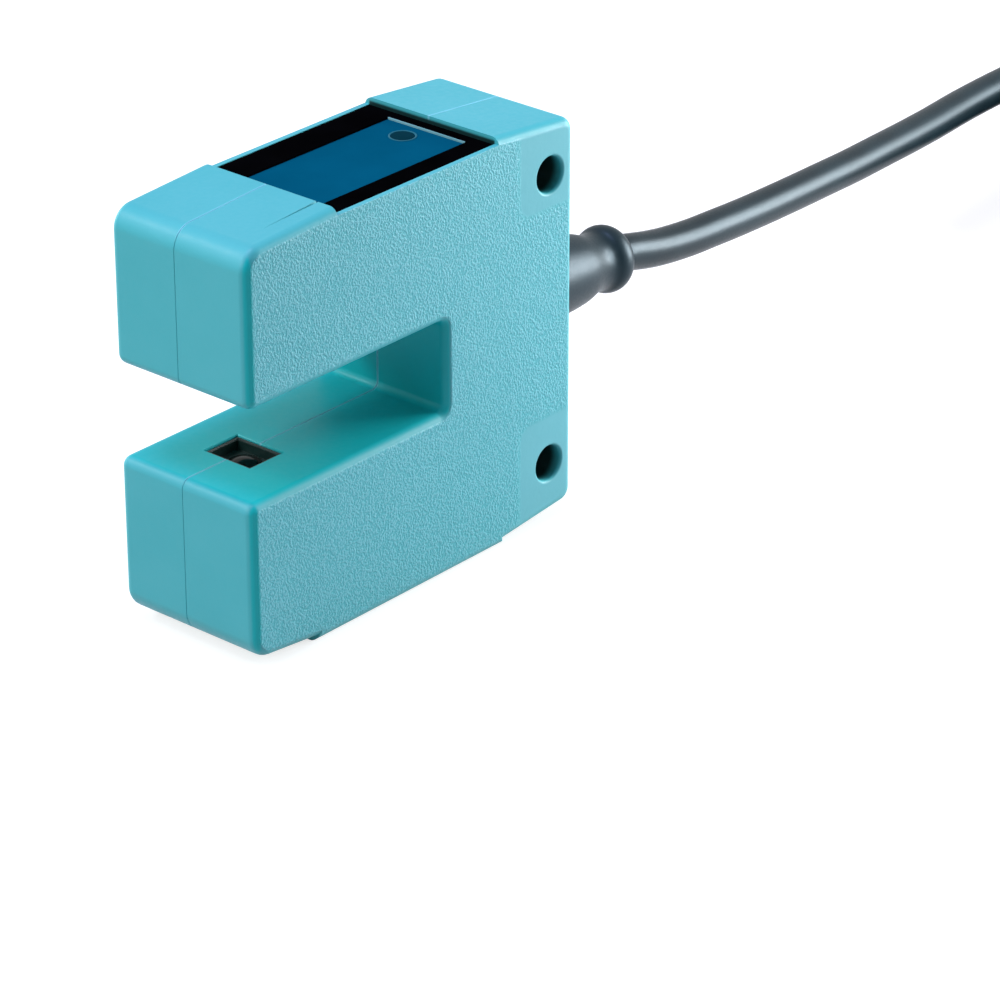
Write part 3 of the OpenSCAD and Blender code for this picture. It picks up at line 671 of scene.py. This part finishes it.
def make_halves():
    shared = [cutter("aperture_cutter", aperture_cut), cutter("bore_cutter", bore_cut)]
    spare = list(shared)
    for name, node, side in (("near_shell", "near_case_half", -1),
                             ("far_shell", "far_case_half", 1)):
        piece = new_object(name, finish_mesh(rounded_block(side * SIDE_Y), name))
        own = [cutter(name + "_window_cutter", window_cut(side)),
               cutter(name + "_hole_cutter", hole_cut(side)),
               cutter(name + "_hollow_cutter", hollow_cut(side))]
        if side < 0:
            own.append(cutter("groove_cutter", witness_groove))
        carve(piece, own + shared)
        soften(piece, side)
        shade(piece)
        settle(piece, TEAL, "case_teal", node)
        spare += own
    for shape in spare:
        mesh = shape.data
        bpy.data.objects.remove(shape)
        bpy.data.meshes.remove(mesh)


make_halves()


# Indicator window

PANE_LOW, PANE_HIGH = (-12.2, -9.1, POCKET_Z), (13.6, 9.1, POCKET_Z + 1.0)
VIEW_LOW, VIEW_HIGH = (-11.4, -6.4), (12.2, 5.0)
FILM_THICK = 0.25
EYE_R, EYE_RISE = 1.36, 0.10


def make_window():
    base = PANE_HIGH[2]
    bevelled_box("window_pane", PANE_LOW, PANE_HIGH, 0.06,
                 WINDOW_BLUE, "window_tint", "window_plate")

    bm = bmesh.new()
    bmesh.ops.create_grid(bm, x_segments=1, y_segments=1, size=1.0)
    view = bm.faces[:][0]
    set_corners(view, PANE_LOW, PANE_HIGH, base)
    bmesh.ops.inset_individual(bm, faces=[view], thickness=0.5 * MM)
    set_corners(view, VIEW_LOW, VIEW_HIGH, base)
    bmesh.ops.delete(bm, geom=[view], context="FACES_ONLY")
    draw_out(bm, bm.faces[:], (0, 0, FILM_THICK))
    bmesh.ops.recalc_face_normals(bm, faces=bm.faces)
    rims = [e for e in bm.edges if all(v.co.z > (base + 0.2) * MM for v in e.verts)
            and e.calc_face_angle(0) > 1]
    round_edges(bm, rims, 0.07, 2)
    finish_piece(bm, "window_border", FILM_BLACK, "frame_black", "window_frame")

    # Pale strip along the rear edge of the view: painted highlight
    bevelled_box("window_rear_edge",
                 (VIEW_HIGH[0] - 0.16, VIEW_LOW[1] + 0.05, base - 0.02),
                 (VIEW_HIGH[0] - 0.01, VIEW_HIGH[1] - 0.05, base + 0.26), 0.04,
                 PAINTED_EDGE_HIGHLIGHT, "window_tint")

    place = at(LAMP_X, PARTING_Y, base)
    dome = [(EYE_R * math.cos(t), EYE_RISE * math.sin(t)) for t in sweep(0, math.pi / 2, 6)]
    turned_piece("lamp_eye", [(0, -0.4), (EYE_R, -0.4)] + dome[:-1] + [(0, EYE_RISE)],
                 place, (0, 0, 1), 48, LAMP_GLASS, "window_tint")
    ring = [(1.40, -0.3), (1.40, 0.05), (1.46, 0.08), (1.54, 0.08), (1.60, 0.04), (1.62, -0.3),
            (1.40, -0.3)]
    turned_piece("lamp_collar", ring, place, (0, 0, 1), 64, LAMP_RING, "window_tint")


make_window()


# Beam optics

# Steps of a cup as (half length, half width, height): up the wall, over the ledge, down inside
CUP_RINGS = [
    (2.18, 2.98, 0.0), (2.18, 2.98, 1.49), (2.55, 3.35, 1.51), (2.55, 3.35, 1.72),
    (2.47, 3.27, 1.80), (2.30, 3.10, 1.79), (2.24, 3.04, 1.66), (2.14, 2.94, 1.64),
    (2.08, 2.88, 1.10), (2.04, 2.84, 0.63)]
CUP_FLOOR = CUP_RINGS[-1][2]
CUP_HALF_X, CUP_HALF_Y, CUP_DEPTH = 4.3, 4.0, 7.2
LENS_R, LENS_RISE = 1.98, 0.62


def make_optics():
    """Dark cups that line the beam windows, each with a domed lens on its floor."""
    dome = [(LENS_R * k / 10, -LENS_RISE * (1 - (k / 10) ** 2)) for k in range(11)]
    profile = dome + [(LENS_R, 0.25), (0, 0.25)]
    for name, face_z, way in (("receiver", SLOT_FLOOR - WALL, -1),
                              ("emitter", SLOT_CEILING + WALL, 1)):
        bm = bmesh.new()
        box(bm, (BEAM_X - CUP_HALF_X, PARTING_Y - CUP_HALF_Y, -CUP_DEPTH),
            (BEAM_X + CUP_HALF_X, PARTING_Y + CUP_HALF_Y, 0.0))
        round_edges(bm, bm.edges[:], 0.15, 2)
        top = max(bm.faces, key=lambda f: f.calc_center_median().z)
        bmesh.ops.inset_region(bm, faces=[top], thickness=0.5 * MM)
        step_face(bm, top, CUP_RINGS)
        bmesh.ops.scale(bm, vec=(1, 1, -way), verts=bm.verts)
        bmesh.ops.translate(bm, vec=at(0, 0, face_z), verts=bm.verts)
        finish_piece(bm, name + "_cup", HOLDER_GREEN, "holder_black", name + "_holder")
        turned_piece(name + "_eye", profile, at(BEAM_X, PARTING_Y, face_z - way * CUP_FLOOR),
                     (0, 0, way), 48, LENS_DARK, "lens_dark", name + "_lens")


make_optics()


# Cable, boot and coil

BOOT_FOOT = Vector((REAR_X, PARTING_Y, BOOT_Z))
BOOT_WAY = Vector((math.cos(BOOT_LEAN), 0, -math.sin(BOOT_LEAN)))
BOOT_END = BOOT_FOOT + BOOT_LENGTH * BOOT_WAY
BOOT_FLANGE_R, BOOT_FLANGE = 6.9, 1.8
# Neck of the boot as (radius, distance from the rear face), then the place and size of its bead
BOOT_NECK = [
    (5.60, 0.2), (5.54, 0.8), (5.40, 2.2), (5.24, 4.0), (5.03, 6.2), (4.80, 8.4), (4.58, 10.2),
    (4.36, 11.7), (4.10, 12.8), (3.82, 13.7), (3.62, 14.5), (3.52, 15.2), (3.51, 15.9)]
BEAD_AT, BEAD_R, BEAD_MIDDLE = 0.89 * BOOT_LENGTH, 2.2, 1.9
BEND_LENGTH = 2.0

COIL_EDGE = COIL_R + CABLE_D / 2
COIL_Y = SIDE_Y - CABLE_D / 2 - COIL_EDGE
COIL_TOP = REST_GAP + (COIL_HIGH - 0.5) * CABLE_D
# Points of the part's source that the cable follows from the boot to the coil
ROUTE = [BOOT_END] + [Vector(p) for p in (
    (48.1, 0.4, 22.36), (50, 0.4, 21.93), (52.5, 0.4, 21.35), (56, 0.5, 20.7),
    (61, 0.7, 20.05), (66, 1, 19.6), (71, 1.4, 19.1), (77, 1.9, 18.6), (84, 2.5, 18.1),
    (91, 3.2, 17.6), (98, 3.9, 17.1), (105, 4.7, 16.7), (112, 5.5, 16.3), (119, 6.3, 16.0),
    (127, 7.2, 15.85), (135.6, COIL_Y + COIL_EDGE, COIL_TOP), (142, COIL_Y + COIL_EDGE, COIL_TOP))]
# Places of the turns as (column, layer): down the outer side of the coil, then up its inner side
TURNS = [(0, 3), (0, 2), (0, 1), (0, 0), (1, 0), (1, 1), (1, 2), (1, 3)]
CROSSING = 0.33
JACKET_END = 13.0


def spline_through(points, steps):
    """Points of a smooth curve through the given ones."""
    result = []
    count = len(points)
    for i in range(count - 1):
        a, b = points[max(i - 1, 0)], points[i]
        c, d = points[i + 1], points[min(i + 2, count - 1)]
        for k in range(steps):
            t = k / steps
            result.append(0.5 * ((2 * b) + (c - a) * t + (2 * a - 5 * b + 4 * c - d) * t * t
                                 + (3 * b - a - 3 * c + d) * t * t * t))
    return result + [points[-1]]


def ease(value):
    value = min(1.0, max(0.0, value))
    return 0.5 - 0.5 * math.cos(math.pi * value)


def coil_points(run_steps=24, bend_steps=18):
    """Long coil of runs and end bends; each turn moves to its next place along the near run."""
    points = []

    def radius_of(column):
        return COIL_EDGE - column * CABLE_D

    def add(x, y, column, layer):
        points.append(Vector((COIL_X + x, COIL_Y + y * radius_of(column),
                              REST_GAP + (layer + 0.5) * CABLE_D)))

    def bend(x, way, column, layer):
        for t in sweep(0, math.pi, bend_steps)[1:-1]:
            add(x + way * radius_of(column) * math.sin(t), way * math.cos(t), column, layer)

    for i, (column, layer) in enumerate(TURNS):
        for k in range(6):
            add(COIL_RUN * k / 5, 1, column, layer)
        bend(COIL_RUN, 1, column, layer)
        if i == len(TURNS) - 1:
            break
        to_column, to_layer = TURNS[i + 1]
        begin = 0.67 if to_layer < layer else 0.335 if to_column > column else 0.0
        for k in range(run_steps + 1):
            s = ease((k / run_steps - begin) / CROSSING)
            add(COIL_RUN * (1 - k / run_steps), -1,
                column + (to_column - column) * s, layer + (to_layer - layer) * s)
        bend(0, -1, to_column, to_layer)
    for k in range(9):
        s = ease(k / 7)
        add(COIL_RUN - JACKET_END * k / 8, -1, 1 - 0.5 * s, 3 + 0.87 * s)
    return points


def make_boot():
    """Flange inside the case, then a cone that leans down and ends in a bead."""
    inner = HOLLOW_REAR - BOOT_FLANGE - REAR_X
    flange = [(0, inner), (BOOT_FLANGE_R - 0.2, inner), (BOOT_FLANGE_R, inner + 0.2),
              (BOOT_FLANGE_R, inner + BOOT_FLANGE - 0.05), (BOOT_R, inner + BOOT_FLANGE),
              (BOOT_R, 0.0)]
    bead = [(BEAD_MIDDLE + BEAD_R * math.cos(t), BEAD_AT + BEAD_R * math.sin(t))
            for t in sweep(math.radians(-38), math.radians(62), 12)]
    tail = [(2.84, BOOT_LENGTH - 0.16), (2.62, BOOT_LENGTH), (0, BOOT_LENGTH)]
    bm = bmesh.new()
    lathe(bm, flange + BOOT_NECK + bead + tail, at(0, 0, 0), (1, 0, 0))
    for v in bm.verts:
        lean = BOOT_LEAN * min(1.0, max(0.0, v.co.x / (BEND_LENGTH * MM)))
        v.co = Matrix.Rotation(lean, 3, "Y") @ v.co
    bmesh.ops.translate(bm, vec=BOOT_FOOT * MM, verts=bm.verts)
    return finish_piece(bm, "strain_boot", BOOT_RUBBER, "boot_black", "cable_boot", angle=50)


def make_band():
    """Band that holds the turns of the far run together, bent over them."""
    gap, width, thickness = 0.1, 4.0, 0.9
    low = COIL_Y + COIL_EDGE - 1.5 * CABLE_D - gap
    high = COIL_Y + COIL_EDGE + CABLE_D / 2 + gap
    top = REST_GAP + COIL_HIGH * CABLE_D + gap
    x = COIL_X + COIL_RUN / 2 - width / 2
    bm = bmesh.new()
    path = [bm.verts.new(at(x, y, z))
            for y, z in ((low, REST_GAP), (low, top), (high, top), (high, REST_GAP))]
    edges = [bm.edges.new(pair) for pair in zip(path, path[1:])]
    shift(bm, bmesh.ops.extrude_edge_only(bm, edges=edges)["geom"], (width, 0, 0))
    bends = [e for e in bm.edges if all(v.co.z > (top - 0.01) * MM for v in e.verts)
             and abs(e.verts[0].co.x - e.verts[1].co.x) > 1 * MM]
    round_edges(bm, bends, 0.4, 4)
    bmesh.ops.recalc_face_normals(bm, faces=bm.faces)
    over = max(bm.faces, key=lambda f: f.calc_center_median().z)
    outwards = -thickness if over.normal.z > 0 else thickness
    bmesh.ops.solidify(bm, geom=bm.faces[:], thickness=outwards * MM)
    return finish_piece(bm, "coil_band", BAND_BLACK, "tie_black", "coil_tie")


def make_leads(end):
    """Stripped cores that come out of the jacket and lie on the near run, with tinned ends."""
    pieces = []
    rest = REST_GAP + COIL_HIGH * CABLE_D + 0.06 + CORE_D / 2
    far = COIL_X + 0.75 * COIL_RUN - LEAD_LENGTH
    for i, (name, material) in enumerate(CORES.items()):
        beside, middle = i - 1, i == 1
        y = COIL_Y - COIL_R + beside * CORE_PITCH
        z = rest - (0.3 if middle else 0.0)
        line = spline_through([Vector(p) for p in (
            (end.x + 1.5, end.y + beside * 0.85, end.z + (0.45 if middle else -0.35)),
            (end.x - 0.5, end.y + beside * 0.95, end.z + (0.40 if middle else -0.35)),
            (end.x - 4.0, y, z + 0.25), (end.x - 7.0, y, z), (end.x - 13.0, y, z),
            (far + 6.0, y, z))], 5)
        tip = [line[-1] + Vector((0.5, 0, 0)), Vector((far, y, z))]
        pieces.append(tube("lead_core_" + name, line, CORE_D / 2, 4,
                           material, "core_" + name, "lead_" + name))
        pieces.append(tube("lead_tip_" + name, tip, LEAD_TIP_R, 4, TIN, "can_tin"))
    return pieces


boot = make_boot()
cable_line = spline_through(ROUTE, 3) + coil_points()
cable = tube("sensor_cable", cable_line, CABLE_D / 2, 6,
             JACKET, "cable_black", "cable", "cable_coil")
band = make_band()
leads = make_leads(cable_line[-1])


# Finish of the CAD nodes that stay

KEPT = {
    "circuit_board": BOARD_GREEN, "emitter_diode": DIODE_RESIN, "receiver_diode": DIODE_RESIN,
    "indicator_lamp": LAMP_RESIN, "amplifier_chip": CHIP_BLACK, "voltage_regulator": CHIP_BLACK,
    "output_transistor": CHIP_BLACK, "protection_diode": CHIP_BLACK, "chip_resistors": CHIP_BLACK,
    "filter_capacitor": TIN}
for core, material in CORES.items():
    KEPT["core_wire_" + core] = material
for node, material in KEPT.items():
    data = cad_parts[node].data
    data.materials.clear()
    data.materials.append(material)


# Floor, world and light

def seen_directly(net):
    """1 for rays from the camera, from gloss and through glass, and 0 for the light on the part."""
    path = net.add("ShaderNodeLightPath")
    seen = net.calc("MAXIMUM", path.outputs["Is Camera Ray"], path.outputs["Is Glossy Ray"])
    return net.calc("MAXIMUM", seen, path.outputs["Is Transmission Ray"])


def make_floor():
    bm = bmesh.new()
    bmesh.ops.create_grid(bm, x_segments=1, y_segments=1, size=3.0)
    floor = new_object("studio_floor", finish_mesh(bm, "studio_floor"))
    material = bpy.data.materials.new("studio_floor")
    material.use_nodes = True
    net = Net(material.node_tree)
    nodes = material.node_tree.nodes
    nodes.remove(nodes["Principled BSDF"])
    matt = net.add("ShaderNodeBsdfDiffuse")
    matt.inputs["Color"].default_value = (0.40, 0.40, 0.40, 1)
    glow = net.add("ShaderNodeEmission")
    net.feed(glow.inputs["Strength"], net.calc("MULTIPLY", seen_directly(net), 0.76))
    both = net.add("ShaderNodeAddShader")
    net.feed(both.inputs[0], matt.outputs[0])
    net.feed(both.inputs[1], glow.outputs[0])
    net.feed(nodes["Material Output"].inputs["Surface"], both.outputs[0])
    floor.data.materials.append(material)


def make_world():
    world = bpy.data.worlds.new("studio")
    bpy.context.scene.world = world
    world.use_nodes = True
    net = Net(world.node_tree)
    fill = world.node_tree.nodes["Background"]
    fill.inputs["Color"].default_value = (0.93, 0.97, 1.0, 1)
    fill.inputs["Strength"].default_value = 0.16
    white = net.add("ShaderNodeBackground")
    white.inputs["Strength"].default_value = 1.0
    mix = net.add("ShaderNodeMixShader")
    net.feed(mix.inputs[0], seen_directly(net))
    net.feed(mix.inputs[1], fill.outputs[0])
    net.feed(mix.inputs[2], white.outputs[0])
    net.feed(world.node_tree.nodes["World Output"].inputs["Surface"], mix.outputs[0])


def soft_box(name, place, target, size, power, colour):
    data = bpy.data.lights.new(name, "AREA")
    data.shape = "SQUARE"
    data.size = size
    data.energy = power
    data.color = colour
    light = bpy.data.objects.new(name, data)
    bpy.context.scene.collection.objects.link(light)
    light.location = place
    light.rotation_euler = (Vector(target) - Vector(place)).to_track_quat("-Z", "Y").to_euler()
    light.visible_camera = False


make_floor()
make_world()
MIDDLE, CABLE_START = (0.0, 0.0, 0.025), (0.06, 0.0, 0.022)
soft_box("top_light", (-0.08, 0.06, 0.58), MIDDLE, 0.30, 2.6, (0.64, 0.65, 1.0))
soft_box("edge_light", (-0.24, 0.29, 0.37), MIDDLE, 0.09, 0.80, (0.95, 0.95, 1.0))
soft_box("tip_light", (-0.42, 0.13, 0.27), MIDDLE, 0.28, 1.15, (0.96, 1.0, 1.0))
soft_box("side_light", (0.40, -0.20, 0.085), MIDDLE, 0.20, 1.15, (0.95, 0.98, 1.0))
soft_box("cable_light", (0.20, -0.10, 0.07), CABLE_START, 0.12, 0.55, (0.93, 0.97, 1.0))
soft_box("far_light", (0.03, 0.42, 0.045), MIDDLE, 0.20, 0.6, (0.96, 0.98, 1.0))

bpy.context.scene.view_settings.view_transform = "Standard"
